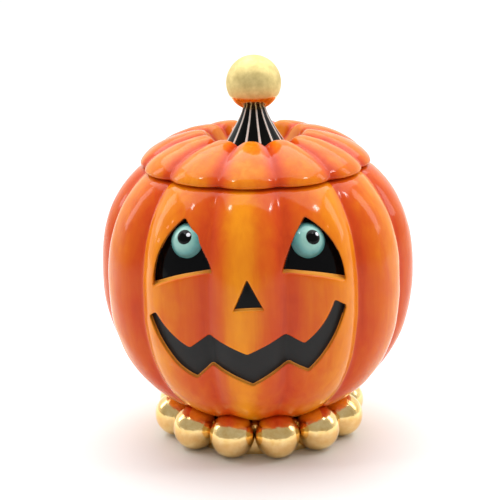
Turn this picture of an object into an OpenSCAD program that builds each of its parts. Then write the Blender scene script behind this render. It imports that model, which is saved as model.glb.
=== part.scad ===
// Ceramic pumpkin jar with a lift-off lid, a carved face and a foot of gilded beads.
// The jar stands on z = 0 and the face looks along -Y.

/* [Jar body] */
// Width across two opposite ribs
jar_d = 243.5; // [200:1:290]
// Height of the widest part above the table
belly_z = 133; // [110:1:165]
// Height of the rim above the widest part
rim_rise = 83; // [72:1:110]
// Fullness of the shoulder curve
crown_power = 2.4; // [2:0.1:3]
// Fullness of the underside curve
keel_power = 2.2; // [1.8:0.1:2.6]
// Rounding of the rim's outer edge
rim_round = 4; // [2:0.5:6]
// Width of the flat land of the rim inside a valley
rim_land = 8; // [6:0.5:14]
// Thickness of the ceramic behind the carved face
wall_t = 5; // [4:0.5:8]
// Height of the straight neck inside the mouth
neck_h = 10; // [6:1:16]
// Height of the cone that leads from the neck to the hollow
shoulder_h = 14; // [8:1:24]

/* [Ribs] */
// Number of ribs on the body and on the lid
rib_count = 12; // [8:1:16]
// Depth of the valleys at the belly
rib_depth = 8; // [4:0.5:10]
// Sharpness of the ribs, where more is flatter on top
rib_power = 2.6; // [1.6:0.1:4]
// Softness of the bottom of a valley
valley_soft = 0.12; // [0.05:0.01:0.4]

/* [Face] */
// Depth of the carved nose and mouth
face_depth = 4; // [2:0.5:6]
// Depth of the carved eyes
eye_depth = 6; // [3:0.5:7]
// Diameter of an eyeball
eye_d = 29.5; // [26:0.5:32]
// Distance of each eyeball from the middle of the face
eye_x = 47; // [42:0.5:50]
// Height of the eyeballs above the widest part
eye_rise = 51.5; // [46:0.5:55]
// How far an eyeball stands proud of the ribs
eye_proud = 1; // [0:0.5:5]
// How deep the flat back of an eyeball is let into the floor of its hole
eye_seat = 2; // [1:0.5:3]
// Diameter of a pupil
pupil_d = 11; // [7:0.1:13]
// How far a pupil stands proud of its eyeball
pupil_proud = 0.8; // [0.4:0.1:1.5]
// Turn of the left pupil away from straight ahead, in degrees
left_turn = -18; // [-30:1:30]
// Lift of the left pupil, in degrees
left_lift = 29; // [10:1:45]
// Turn of the right pupil away from straight ahead, in degrees
right_turn = 30; // [-30:1:30]
// Lift of the right pupil, in degrees
right_lift = 27; // [10:1:45]

/* [Foot] */
// Number of beads round the foot
bead_count = 12; // [10:1:14]
// Diameter of a bead
bead_d = 34.6; // [28:0.1:42]
// Gap between two neighbouring beads
bead_gap = 0.1; // [0.1:0.1:1]
// How far the beads reach above the flat bottom of the body
bead_seat = 9.6; // [7:0.1:12]
// How far the edge of the flat bottom lies inside the ring of bead centres
floor_inset = 12.5; // [10:0.5:14]
// How far the outside of the foot ring lies inside the ring of bead centres
foot_inset = 6; // [4:0.5:9]
// Width of the foot ring
foot_w = 19; // [14:0.5:24]

/* [Lid] */
// Width of the lid across two opposite ribs
lid_d = 178; // [148:1:196]
// How far the lid reaches beyond the rim
lid_overhang = 0.8; // [0:0.1:3]
// Height from the underside of the lid to the top of its ribs
lid_rise = 25.5; // [22:0.5:32]
// Distance of the highest part of the ribs from the axis
lid_crest_r = 41; // [36:1:48]
// Fullness of the lid's outer slope
lid_power = 1.55; // [1.3:0.05:2.5]
// Height of the flat seat under the stem, above the underside
stem_seat_h = 12; // [10:0.5:15]
// Rounding of the lid's lower edge
lid_edge = 1.5; // [0.5:0.5:3]
// Thickness of the ceramic of the lid
lid_wall = 6; // [4:0.5:8]
// Height of the flange that centres the lid
flange_h = 12; // [8:1:16]
// Thickness of the flange
flange_t = 5; // [3:0.5:8]
// Thickness of the sealing ring
seal_t = 1.2; // [0.8:0.1:2]
// Width of the sealing ring
seal_w = 6; // [4:0.5:8]

/* [Stem and ball] */
// Diameter of the stem where it meets the lid
stem_foot_d = 52; // [40:1:54]
// Diameter of the stem where it meets the ball
stem_neck_d = 18; // [14:0.5:24]
// Height of the stem
stem_h = 31; // [26:1:40]
// Sweep of the stem's flare
stem_flare = 1.25; // [1:0.05:2]
// Height of the raised lines on the stem
line_h = 0.6; // [0.3:0.1:1.2]
// Diameter of the gold ball
ball_d = 42.6; // [36:0.1:52]

/* [Fixing] */
// Diameter of the stud that holds stem and ball on the lid
stud_d = 6; // [5:1:8]
// Depth of the stud inside the ball
stud_grip = 16; // [10:1:20]
// Diameter of the washer
washer_d = 18; // [16:1:24]
// Thickness of the washer
washer_t = 1.6; // [1:0.1:2.5]
// Width of the nut across its flats
nut_w = 10; // [8:0.5:13]
// Thickness of the nut
nut_t = 5; // [4:0.5:7]

/* [Fits] */
// Gap all round between the flange and the mouth
lid_gap = 1; // [0.5:0.1:2]
// Gap all round between the stud and the pieces that it passes through
stud_gap = 0.3; // [0.2:0.1:0.6]
// Glue line round beads, eyeballs and pupils
glue_gap = 0.1; // [0.1:0.05:0.3]

/* [Hidden] */
bead_names = [for (number = [1 : bead_count]) str("bead_", number < 10 ? "0" : "", number)];
$fn = 96;

glaze = [0.90, 0.42, 0.08];
gilt = [0.84, 0.73, 0.45];

front = -90;
rib_pitch = 360 / rib_count;

// Sizes of the body that follow from the lid above it and the beads below it
jar_r = jar_d / 2;
lid_r = lid_d / 2;
rim_z = belly_z + rim_rise;
rim_r = lid_r - lid_overhang;
mouth_r = rim_r - rim_round - depth_at(rim_r) - rim_land;
bead_r = bead_d / 2;
bead_ring_r = (bead_d + bead_gap) / (2 * sin(180 / bead_count));
floor_z = bead_d - bead_seat;
floor_r = bead_ring_r - floor_inset;
foot_r = bead_ring_r - foot_inset;
crown_reach = curve_reach(rim_rise, rim_r, crown_power);
keel_reach = curve_reach(belly_z - floor_z, floor_r, keel_power);

// Facets of the ribbed surfaces: round a rib, and up the body, the lid and the stem
rib_steps = 8;
ring_steps = rib_count * rib_steps;
body_steps = 12;
round_steps = 3;
slope_steps = 9;
dip_steps = 5;
stem_steps = 6;
bow_steps = 6;

// Details of the lid and the stem
stem_seat_r = stem_foot_d / 2 + 0.5;
line_power = 6;
stud_end = 2;

// Places of the pieces that stack on one another
lid_z = rim_z + seal_t;
seat_z = lid_z + stem_seat_h;
neck_z = seat_z + stem_h;
ball_r = ball_d / 2;
ball_z = neck_z + sqrt(pow(ball_r, 2) - pow(stem_neck_d / 2, 2));
lid_roof_z = seat_z - lid_wall;
flange_r = mouth_r - lid_gap;
flange_in_r = flange_r - flange_t;
bore_d = stud_d + 2 * stud_gap;
thread_d = stud_d + 2 * glue_gap;
stud_top_z = ball_z - ball_r + stud_grip;
stud_bottom_z = lid_roof_z - washer_t - nut_t - stud_end;

// Places of the eyeballs: each is set square to the body's curve, a little proud of it
eye_z = belly_z + eye_rise;
eye_r = eye_d / 2;
eye_turn = asin(eye_x / crest_r(eye_z));
eye_lean = atan((crest_r(eye_z - 1) - crest_r(eye_z + 1)) / 2);
eye_sink = eye_r - eye_proud;

// Corners of the carved shapes: sideways, height above the belly, and the bow of the side that follows
left_eye_hole = [[-45.5, 64.5, 1.6], [-25.5, 27, -3], [-70, 14, 7]];
right_eye_hole = [[41.5, 65.5, 7.5], [71, 18, -3], [25.5, 27, 1.6]];
nose_hole = [[0.5, 25, 0], [12.5, 2, -0.8], [-10, 1, 0]];
mouth_hole = [
    [-74, -10.5, 0], [-69, -6, -2], [-43.5, -30.5, 0], [-29, -20, 0], [-0.5, -33, 0],
    [27, -19, 0], [41, -26.5, -3], [63.5, 5, 0], [71.5, -1, 4], [43.5, -50.5, 0],
    [29, -43, 0], [2.5, -60.5, 0], [-27, -44.5, 0], [-39, -56.5, 2], [-59.5, -38, 1]
];
hole_round = 1.5;

// Distance from the belly at which a curve closes when it has radius r at the distance run
function curve_reach(run, r, power) = run / pow(1 - pow(r / jar_r, power), 1 / power);

// Radius of the body over the crest of a rib at height z
function crest_r(z) =
    let (
        reach = z > belly_z ? crown_reach : keel_reach,
        power = z > belly_z ? crown_power : keel_power,
        share = min(1, abs(z - belly_z) / reach)
    )
    jar_r * pow(1 - pow(share, power), 1 / power);

// 0 on the crest of a rib and 1 at the bottom of a valley, for an angle round the axis
function valley(angle) =
    let (
        turn = (angle - front + 360 + rib_pitch / 2) % rib_pitch,
        off = 1 - abs(turn - rib_pitch / 2) / (rib_pitch / 2),
        full = sqrt(1 + pow(valley_soft, 2)),
        soft = sqrt(pow(off, 2) + pow(valley_soft, 2)) - (full - 1) * off
    )
    pow(max(0, 1 - soft) / (1 - valley_soft), rib_power);

// Depth of a valley where the crest has radius r
function depth_at(r) = rib_depth * pow(r / jar_r, 2);

// Angle of point i of a ring, which starts at the bottom of a valley
function ring_angle(i) = front + rib_pitch / 2 + 360 * i / ring_steps;

// One ring of a ribbed shape: crest radius r, crest height z, sunk by depth times [out, up]
function rib_ring(r, z, depth, out, up) = [
    for (i = [0 : ring_steps - 1])
        let (angle = ring_angle(i), sink = depth * valley(angle), rr = r - sink * out)
        [rr * cos(angle), rr * sin(angle), z - sink * up]
];

// Closed solid through rings of equal length, the first and the last of them flat
module loft(rings) {
    count = len(rings[0]);
    last = len(rings) - 1;
    sides = [
        for (k = [0 : last - 1], i = [0 : count - 1])
            let (a = k * count + i, b = k * count + (i + 1) % count)
            each [[a, a + count, b + count], [a, b + count, b]]
    ];
    base = [for (i = [0 : count - 1]) i];
    top = [for (i = [count - 1 : -1 : 0]) last * count + i];
    polyhedron(points = [for (ring = rings) each ring], faces = concat([base], sides, [top]));
}

// Heights of the rings of the body, closer together on the rounded rim
function body_heights() = concat(
    [for (k = [0 : body_steps]) floor_z + (rim_z - rim_round - floor_z) * k / body_steps],
    [for (k = [1 : round_steps]) rim_z - rim_round * (1 - sin(90 * k / round_steps))]
);

// How far the rim's rounding pulls the wall in at height z
function rim_pull(z) =
    let (into = max(0, z - rim_z + rim_round))
    rim_round - sqrt(max(0, pow(rim_round, 2) - pow(into, 2)));

// The ribbed outside of the body, taken in by inset
module body_form(inset = 0) {
    loft([
        for (z = body_heights())
            let (r = crest_r(z))
            rib_ring(r - rim_pull(z) - inset, z, depth_at(r), 1, 0)
    ]);
}

// The hollow inside the body: it follows the ribs up to a cone and a round neck
module body_hollow() {
    inset = max(face_depth, eye_depth) + wall_t;
    bottom_z = bead_d + wall_t;
    neck_z = rim_z - neck_h;
    cone_z = neck_z - shoulder_h;
    intersection() {
        body_form(inset);
        translate([0, 0, bottom_z]) cylinder(r = jar_r, h = cone_z - bottom_z);
    }
    rotate_extrude()
        polygon([
            [0, cone_z - 1], [crest_r(cone_z) - rib_depth - inset, cone_z - 1],
            [crest_r(cone_z) - rib_depth - inset, cone_z], [mouth_r, neck_z],
            [mouth_r, rim_z + 1], [0, rim_z + 1]
        ]);
}

// Points along one side of a carved shape, bowed to its left by its middle number
function side_points(from, to) =
    let (
        run = [to.x - from.x, to.y - from.y],
        left = [-run.y, run.x] / norm(run),
        steps = from.z == 0 ? 1 : bow_steps
    )
    [for (k = [0 : steps - 1]) let (t = k / steps)
        [from.x, from.y] + run * t + left * from.z * 4 * t * (1 - t)];

// A carved shape with softened corners, cut straight back into the front of the body
module face_hole(corners) {
    count = len(corners);
    outline = [for (i = [0 : count - 1]) each side_points(corners[i], corners[(i + 1) % count])];
    translate([0, 0, belly_z])
        rotate([90, 0, 0])
            linear_extrude(jar_r + 1)
                offset(r = hole_round, $fn = 24)
                    offset(delta = -hole_round)
                        polygon(outline);
}

module jar_body() {
    color(glaze)
    difference() {
        body_form();
        difference() {
            union() {
                face_hole(left_eye_hole);
                face_hole(right_eye_hole);
            }
            body_form(eye_depth);
        }
        difference() {
            union() {
                face_hole(nose_hole);
                face_hole(mouth_hole);
            }
            body_form(face_depth);
        }
        body_hollow();
        at_eye(-1) eye_dome(glue_gap);
        at_eye(1) eye_dome(glue_gap);
        pupil_ball(-1, left_turn, left_lift, glue_gap);
        pupil_ball(1, right_turn, right_lift, glue_gap);
        each_bead() sphere(r = bead_r + glue_gap);
    }
}

// Puts its children on the body's curve, upright on it, left of the nose for side -1
module at_eye(side) {
    rotate([0, 0, side * eye_turn])
        translate([0, -crest_r(eye_z), eye_z])
            rotate([90 - eye_lean, 0, 0])
                children();
}

// An eyeball with a flat back, made larger all round by gap
module eye_dome(gap = 0) {
    intersection() {
        translate([0, 0, -eye_sink]) sphere(r = eye_r + gap);
        translate([0, 0, -eye_depth - eye_seat - gap]) cylinder(r = eye_d, h = eye_d);
    }
}

module left_eyeball() {
    color([0.56, 0.75, 0.70])
    at_eye(-1) eye_dome();
}

module right_eyeball() {
    color([0.56, 0.75, 0.70])
    at_eye(1) eye_dome();
}

// The ball whose cap is the pupil of one side, turned and lifted to where it looks
module pupil_ball(side, turn, lift, gap = 0) {
    pupil_r = pupil_d / 2;
    edge = sqrt(pow(eye_r, 2) - pow(pupil_r, 2));
    top = eye_r + pupil_proud;
    centre = (pow(top, 2) - pow(edge, 2) - pow(pupil_r, 2)) / (2 * (top - edge));
    at_eye(side)
        translate([0, 0, -eye_sink])
            rotate([eye_lean - 90, 0, 0])
                rotate([0, 0, turn - side * eye_turn])
                    rotate([90 - lift, 0, 0])
                        translate([0, 0, centre]) sphere(r = top - centre + gap);
}

// A low dome of enamel on an eyeball
module pupil(side, turn, lift) {
    color([0.05, 0.05, 0.05])
    difference() {
        pupil_ball(side, turn, lift);
        at_eye(side)
            translate([0, 0, -eye_sink]) sphere(r = eye_r + glue_gap);
    }
}

module left_pupil() {
    pupil(-1, left_turn, left_lift);
}

module right_pupil() {
    pupil(1, right_turn, right_lift);
}

// Puts its children at the place of bead number index, counted from the one right of the nose
module at_bead(index) {
    rotate([0, 0, front + rib_pitch / 2 + 360 * index / bead_count])
        translate([bead_ring_r, 0, bead_r])
            children();
}

module each_bead() {
    for (index = [0 : bead_count - 1])
        at_bead(index) children();
}

module bead(index) {
    color(gilt)
    at_bead(index) sphere(r = bead_r);
}

module foot_ring() {
    color(gilt)
    difference() {
        cylinder(r = foot_r, h = floor_z);
        translate([0, 0, -1]) cylinder(r = foot_r - foot_w, h = floor_z + 2);
        each_bead() sphere(r = bead_r + glue_gap);
    }
}

// Crest radius and height of the lid from its lower edge, over the crest, down to the stem seat
function lid_slope() = [
    for (k = [0 : slope_steps])
        let (turn = 90 * k / slope_steps)
        [
            lid_crest_r + (lid_r - lid_crest_r) * pow(cos(turn), 2 / lid_power),
            lid_edge + (lid_rise - lid_edge) * pow(sin(turn), 2 / lid_power)
        ]
];
function lid_dip() = [
    for (k = [1 : dip_steps])
        let (share = k / dip_steps)
        [
            lid_crest_r + (stem_seat_r - lid_crest_r) * share,
            lid_rise + (stem_seat_h - lid_rise) * (1 - cos(180 * share)) / 2
        ]
];

module lid_form() {
    slope = lid_slope();
    dip = lid_dip();
    loft(concat(
        [rib_ring(lid_r - lid_edge, lid_z, depth_at(lid_r), 1, 0)],
        [for (k = [0 : slope_steps])
            let (share = k / slope_steps, depth = depth_at(lid_r))
            rib_ring(slope[k].x, lid_z + slope[k].y, depth, 1 - share, share)],
        [for (k = [0 : dip_steps - 1])
            let (depth = depth_at(lid_r) * (1 - (k + 1) / dip_steps))
            rib_ring(dip[k].x, lid_z + dip[k].y, depth, 0, 1)]
    ));
}

module lid() {
    roof_r = washer_d / 2 + 3;
    color(glaze)
    difference() {
        union() {
            lid_form();
            translate([0, 0, lid_z - flange_h]) cylinder(r = flange_r, h = flange_h + 2);
        }
        rotate_extrude()
            polygon([
                [0, lid_z - flange_h - 1], [flange_in_r, lid_z - flange_h - 1],
                [flange_in_r, lid_z + 1], [lid_crest_r, lid_z + lid_rise - depth_at(lid_r) - lid_wall],
                [roof_r, lid_roof_z], [0, lid_roof_z]
            ]);
        translate([0, 0, lid_z]) cylinder(d = bore_d, h = lid_rise);
    }
}

module lid_seal() {
    color([0.92, 0.92, 0.90])
    difference() {
        translate([0, 0, rim_z]) cylinder(r = flange_r + seal_w, h = seal_t);
        translate([0, 0, rim_z - 1]) cylinder(r = flange_r + glue_gap, h = seal_t + 2);
    }
}

// The flared stem, with one raised line over each valley of the lid
function stem_ring(share) =
    let (r = stem_neck_d / 2 + (stem_foot_d - stem_neck_d) / 2 * pow(1 - share, stem_flare))
    [
        for (i = [0 : ring_steps - 1])
            let (angle = ring_angle(i), rr = r - line_h * (1 - pow(valley(angle), line_power)))
            [rr * cos(angle), rr * sin(angle), seat_z + stem_h * share]
    ];

module stem() {
    color([0.06, 0.06, 0.05])
    difference() {
        loft([for (k = [0 : stem_steps]) stem_ring(k / stem_steps)]);
        translate([0, 0, ball_z]) sphere(r = ball_r + glue_gap);
        translate([0, 0, seat_z - 1]) cylinder(d = bore_d, h = stem_h + 2);
    }
}

module gold_ball() {
    color(gilt)
    difference() {
        translate([0, 0, ball_z]) sphere(r = ball_r);
        translate([0, 0, neck_z - ball_r]) cylinder(d = thread_d, h = stud_top_z + 1 - neck_z + ball_r);
    }
}

module stud() {
    color("silver")
    translate([0, 0, stud_bottom_z]) cylinder(d = stud_d, h = stud_top_z - stud_bottom_z);
}

module washer() {
    color("silver")
    translate([0, 0, lid_roof_z - washer_t])
        difference() {
            cylinder(d = washer_d, h = washer_t);
            translate([0, 0, -1]) cylinder(d = bore_d, h = washer_t + 2);
        }
}

module nut() {
    color("silver")
    translate([0, 0, lid_roof_z - washer_t - nut_t])
        difference() {
            cylinder(d = nut_w / cos(30), h = nut_t, $fn = 6);
            translate([0, 0, -1]) cylinder(d = thread_d, h = nut_t + 2);
        }
}

jar_body();
left_eyeball();
right_eyeball();
left_pupil();
right_pupil();
foot_ring();
for (index = [0 : bead_count - 1])
    bead(index);
lid();
lid_seal();
stem();
gold_ball();
stud();
washer();
nut();
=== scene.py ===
import math

import bpy
import numpy as np
from mathutils import Matrix, Vector, geometry


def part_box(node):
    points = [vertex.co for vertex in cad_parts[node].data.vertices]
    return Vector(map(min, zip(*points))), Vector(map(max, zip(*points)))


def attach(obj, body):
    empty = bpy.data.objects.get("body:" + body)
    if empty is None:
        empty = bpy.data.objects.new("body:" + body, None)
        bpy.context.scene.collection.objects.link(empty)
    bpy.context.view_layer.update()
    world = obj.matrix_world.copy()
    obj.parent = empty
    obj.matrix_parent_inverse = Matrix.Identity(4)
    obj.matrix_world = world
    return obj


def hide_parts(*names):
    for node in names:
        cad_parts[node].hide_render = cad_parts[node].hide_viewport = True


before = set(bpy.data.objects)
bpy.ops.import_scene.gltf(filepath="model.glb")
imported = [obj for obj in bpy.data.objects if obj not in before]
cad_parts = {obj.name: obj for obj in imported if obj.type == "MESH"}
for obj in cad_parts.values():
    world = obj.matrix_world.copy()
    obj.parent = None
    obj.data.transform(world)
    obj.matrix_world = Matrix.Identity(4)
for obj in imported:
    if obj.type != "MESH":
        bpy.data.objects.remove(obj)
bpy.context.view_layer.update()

# ------------------------------------------------------------------ the studio
# The jar stands on a white table that runs on out of sight, in a room that is white behind it
# and dim in front. The camera looks slightly down on it, from a little towards +X.
camera_data = bpy.data.cameras.new("camera")
camera_data.lens = 138.96
camera_data.sensor_width = 36
camera_data.shift_x = -0.0138
camera_data.shift_y = -0.008
camera_data.clip_end = 20
camera = bpy.data.objects.new("camera", camera_data)
bpy.context.scene.collection.objects.link(camera)
bpy.context.scene.camera = camera
camera_target = Vector((0, 0, 0.150))
camera_turn, camera_rise = math.radians(4), math.radians(15.6)
camera_distance = 1.507
camera_back = Vector((
    math.sin(camera_turn) * math.cos(camera_rise),
    -math.cos(camera_turn) * math.cos(camera_rise),
    math.sin(camera_rise),
))
camera_roll = Matrix.Rotation(math.radians(-1.15), 4, "Z")
camera.matrix_world = (
    Matrix.Translation(camera_target + camera_distance * camera_back)
    @ (-camera_back).to_track_quat("-Z", "Y").to_matrix().to_4x4()
    @ camera_roll
)
bpy.context.scene.view_settings.view_transform = "Standard"


def linear(code):
    """The linear colour of an sRGB hex code."""
    parts = [int(code[i : i + 2], 16) / 255 for i in (1, 3, 5)]
    return [p / 12.92 if p <= 0.04045 else ((p + 0.055) / 1.055) ** 2.4 for p in parts] + [1]


def add_node(tree, kind, links=None, stops=(), **settings):
    """A node of that kind. links gives the output or the value for each input, and stops gives
    the place and the colour code of each stop of a colour ramp."""
    node = tree.nodes.new(kind)
    for _ in stops[2:]:  # a ramp starts with two stops
        node.color_ramp.elements.new(0.5)
    for index, (position, code) in enumerate(stops):
        node.color_ramp.elements[index].position = position
        node.color_ramp.elements[index].color = linear(code)
    for name, value in settings.items():
        setattr(node, name, value)
    for name, value in (links or {}).items():
        if isinstance(value, bpy.types.NodeSocket):
            tree.links.new(value, node.inputs[name])
        else:
            node.inputs[name].default_value = value
    return node


def new_material(name):
    """An empty material of that name, its node tree and its output node."""
    material = bpy.data.materials.new(name)
    material.use_nodes = True
    material.node_tree.nodes.clear()
    output = material.node_tree.nodes.new("ShaderNodeOutputMaterial")
    return material, material.node_tree, output


# White laminate table: matt, a trace of tooth in its surface
table_half = 4.0
table_mesh = bpy.data.meshes.new("table_top")
table_mesh.from_pydata(
    [(x * table_half, y * table_half, 0) for x, y in ((-1, -1), (1, -1), (1, 1), (-1, 1))],
    [],
    [(0, 1, 2, 3)],
)
table_top = bpy.data.objects.new("table_top", table_mesh)
bpy.context.scene.collection.objects.link(table_top)
laminate, tree, output = new_material("white_laminate")
tooth = add_node(tree, "ShaderNodeTexNoise", {"Scale": 900.0, "Detail": 2.0})
tooth_bump = add_node(
    tree, "ShaderNodeBump", {"Height": tooth.outputs["Fac"], "Strength": 0.05, "Distance": 0.0002}
)
laminate_shader = add_node(
    tree,
    "ShaderNodeBsdfPrincipled",
    {
        "Base Color": linear("#EAEAE9"),
        "Roughness": 0.6,
        "IOR": 1.5,
        "Normal": tooth_bump.outputs["Normal"],
    },
)
tree.links.new(laminate_shader.outputs["BSDF"], output.inputs["Surface"])
table_mesh.materials.append(laminate)

# Room: white behind the jar, dim in front of it
world = bpy.data.worlds.new("room")
bpy.context.scene.world = world
world.use_nodes = True
world.node_tree.nodes.clear()
tree = world.node_tree
room_way = add_node(tree, "ShaderNodeTexCoord")
room_axes = add_node(tree, "ShaderNodeSeparateXYZ", {"Vector": room_way.outputs["Generated"]})
room_ramp = add_node(
    tree,
    "ShaderNodeMapRange",
    {
        "Value": room_axes.outputs["Y"],
        "From Min": -0.3,
        "From Max": 0.6,
        "To Min": 0.47,
        "To Max": 1.1,
    },
    interpolation_type="SMOOTHSTEP",
)
room_light = add_node(
    tree,
    "ShaderNodeBackground",
    {"Color": linear("#FFFFFF"), "Strength": room_ramp.outputs["Result"]},
)
add_node(tree, "ShaderNodeOutputWorld", {"Surface": room_light.outputs["Background"]})

# Softboxes and two small lamps, all aimed at the jar: name, place, width, height, watts
for name, place, width, height, watts in (
    ("softbox_above", (0.0, 0.60, 2.40), 4.0, 3.2, 90),
    ("softbox_left", (-1.4, 0.35, 0.9), 0.4, 1.0, 4),
    ("softbox_right", (1.4, 0.25, 0.9), 0.4, 1.0, 4),
    ("lamp_left", (-0.75, -0.55, 1.55), 0.14, 0.14, 2.0),
    ("lamp_right", (0.95, -0.35, 1.45), 0.14, 0.14, 2.0),
):
    box_data = bpy.data.lights.new(name, "AREA")
    box_data.shape = "RECTANGLE"
    box_data.size, box_data.size_y = width, height
    box_data.energy = watts
    softbox = bpy.data.objects.new(name, box_data)
    bpy.context.scene.collection.objects.link(softbox)
    way = camera_target - Vector(place)
    softbox.matrix_world = Matrix.Translation(place) @ way.to_track_quat("-Z", "Y").to_matrix().to_4x4()


# ------------------------------------------------------------------ jar body
# Slip-cast earthenware with twelve ribs and a carved face. The orange was airbrushed on in
# coats, redder down one side of each rib. The carved floors were painted black before glazing.
mm = 0.001
jar_low, jar_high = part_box("jar_body")
lid_low, lid_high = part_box("lid")
bead_low, bead_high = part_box("bead_01")
bead_r = (bead_high.z - bead_low.z) / 2
bead_ring_r = ((bead_low + bead_high) / 2).xy.length
jar_r = jar_high.x
floor_z, rim_z = jar_low.z, jar_high.z
belly_z = 133 * mm
crown_power, keel_power = 2.4, 2.2
lid_overhang = 0.8 * mm
rim_r = lid_high.x - lid_overhang
floor_inset = 12.5 * mm
floor_r = bead_ring_r - floor_inset
rim_round = 4 * mm
rim_land = 8 * mm
neck_h = 10 * mm
shoulder_h = 14 * mm
rib_count = 12
rib_pitch = math.tau / rib_count
rib_depth = 8 * mm
rib_power = 2.6
valley_soft = 0.07
wall = 11 * mm
glue = 0.1 * mm
body_rough = 0.35 * mm
columns = 480


def curve_reach(run, r, power):
    """Distance from the belly at which a curve closes that has radius r at the distance run."""
    return run / (1 - (r / jar_r) ** power) ** (1 / power)


crown_reach = curve_reach(rim_z - belly_z, rim_r, crown_power)
keel_reach = curve_reach(belly_z - floor_z, floor_r, keel_power)


def crest(z):
    """Radius of the body over the crest of a rib at height z."""
    above = z > belly_z
    share = np.abs(z - belly_z) / np.where(above, crown_reach, keel_reach)
    power = np.where(above, crown_power, keel_power)
    return jar_r * (1 - np.minimum(share, 1) ** power) ** (1 / power)


def valley(angle):
    """0 on the crest of a rib and 1 at the bottom of a valley, for an angle from the front."""
    off = 1 - 2 * np.abs((angle / rib_pitch + 0.5) % 1 - 0.5)
    full = math.sqrt(1 + valley_soft**2)
    soft = np.sqrt(off**2 + valley_soft**2) - (full - 1) * off
    return (np.maximum(0, 1 - soft) / (1 - valley_soft)) ** rib_power


def depth_at(r):
    """Depth of a valley where the crest has radius r."""
    return rib_depth * (r / jar_r) ** 2


ripples = np.random.default_rng(12)
ripple_turns = ripples.integers(3, 26, 14)
ripple_rises = ripples.uniform(40, 230, 14)
ripple_starts = ripples.uniform(0, math.tau, 14)


def unevenness(angle, z, size):
    """How far the hand-finished surface lies inside its true form, between 0 and about size."""
    waves = sum(
        np.sin(turns * angle + rises * z + start)
        for turns, rises, start in zip(ripple_turns, ripple_rises, ripple_starts)
    )
    return size * (0.5 + 0.5 * np.tanh(waves / 3))


def body_radius(angle, z):
    """Radius of the ribbed outside before the face is carved."""
    into = np.clip(z - rim_z + rim_round, 0, rim_round)
    pull = rim_round - np.sqrt(rim_round**2 - into**2)
    r = crest(z)
    return r - pull - depth_at(r) * valley(angle) - unevenness(angle, z, body_rough)


def on_ring(r, angle, z):
    """Points at radius r, at an angle from the front that grows towards +X, at height z."""
    r, angle, z = np.broadcast_arrays(r, angle, z)
    return np.stack([r * np.sin(angle), -r * np.cos(angle), z], axis=-1)


def ring_faces(rows, closed_first=False, closed_last=False, count=columns, start=0):
    """Quads between rows of points that run round the axis, with one point beyond each closed end."""
    faces = [
        (start + j * count + i, start + j * count + (i + 1) % count,
         start + (j + 1) * count + (i + 1) % count, start + (j + 1) * count + i)
        for j in range(rows - 1)
        for i in range(count)
    ]
    tip = start + rows * count
    if closed_first:
        faces += [(tip, start + (i + 1) % count, start + i) for i in range(count)]
        tip += 1
    if closed_last:
        last = start + (rows - 1) * count
        faces += [(last + i, last + (i + 1) % count, tip) for i in range(count)]
    return faces


def add_piece(name, points, faces, body, slot, stands_for, materials, finish=None, **marks):
    """A smooth mesh piece that rides on a body and stands for a node. finish gives the number of
    each face's material, and every other mark is a number for each point."""
    mesh = bpy.data.meshes.new(name)
    mesh.from_pydata([tuple(p) for p in points], [], faces)
    mesh.polygons.foreach_set("use_smooth", [True] * len(mesh.polygons))
    for mark, values in marks.items():
        layer = mesh.attributes.new(mark, "FLOAT", "POINT")
        layer.data.foreach_set("value", np.asarray(values, dtype=np.float32))
    for material in materials:
        mesh.materials.append(material)
    if finish is not None:
        mesh.polygons.foreach_set("material_index", finish)
    mesh.validate()
    mesh.update()
    piece = bpy.data.objects.new(name, mesh)
    bpy.context.scene.collection.objects.link(piece)
    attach(piece, body)
    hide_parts(stands_for)
    return piece


# Carved shapes from the front in mm: sideways, height above the belly, and the bow of the next side
tip_round = 1.6
bow_steps = 8
outline_step = 0.8
carved_corners = {
    "left_eye": [(-45.5, 64.5, 1.6), (-25.5, 27, -3), (-70, 14, 7)],
    "right_eye": [(41.5, 65.5, 7.5), (71, 18, -3), (25.5, 27, 1.6)],
    "nose": [(0.5, 25, 0), (12.5, 2, -0.8), (-10, 1, 0)],
    "mouth": [
        (-74, -10.5, 0), (-69, -6, -2), (-43.5, -30.5, 0), (-29, -20, 0), (-0.5, -33, 0),
        (27, -19, 0), (41, -26.5, -3), (63.5, 5, 0), (71.5, -1, 4), (43.5, -50.5, 0),
        (29, -43, 0), (2.5, -60.5, 0), (-27, -44.5, 0), (-39, -56.5, 2), (-59.5, -38, 1),
    ],
}


def carved_outline(corners):
    """Closed outline in millimetres through the corners, its sides bowed and its corners softened."""
    points = []
    for (x, z, bow), (x2, z2, _) in zip(corners, corners[1:] + corners[:1]):
        run = np.array([x2 - x, z2 - z])
        left = np.array([-run[1], run[0]]) / np.hypot(*run)
        for t in np.arange(0, 1, 1 / bow_steps if bow else 1):
            points.append(np.array([x, z]) + run * t + left * bow * 4 * t * (1 - t))
    points = np.array(points)
    soft = []
    for before, here, after in zip(np.roll(points, 1, 0), points, np.roll(points, -1, 0)):
        back, on = before - here, after - here
        back_l, on_l = np.hypot(*back), np.hypot(*on)
        reach = min(tip_round, 0.45 * back_l, 0.45 * on_l)
        a = here + back / back_l * reach
        b = here + on / on_l * reach
        soft += [
            (1 - t) ** 2 * a + 2 * t * (1 - t) * here + t**2 * b for t in (0, 0.25, 0.5, 0.75, 1)
        ]
    soft = np.array(soft + soft[:1])
    along = np.concatenate([[0], np.cumsum(np.hypot(*np.diff(soft, axis=0).T))])
    steps = np.linspace(0, along[-1], int(along[-1] / outline_step), endpoint=False)
    return np.stack([np.interp(steps, along, soft[:, axis]) for axis in (0, 1)], axis=1)


outlines = [carved_outline(corners) for corners in carved_corners.values()]


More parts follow.
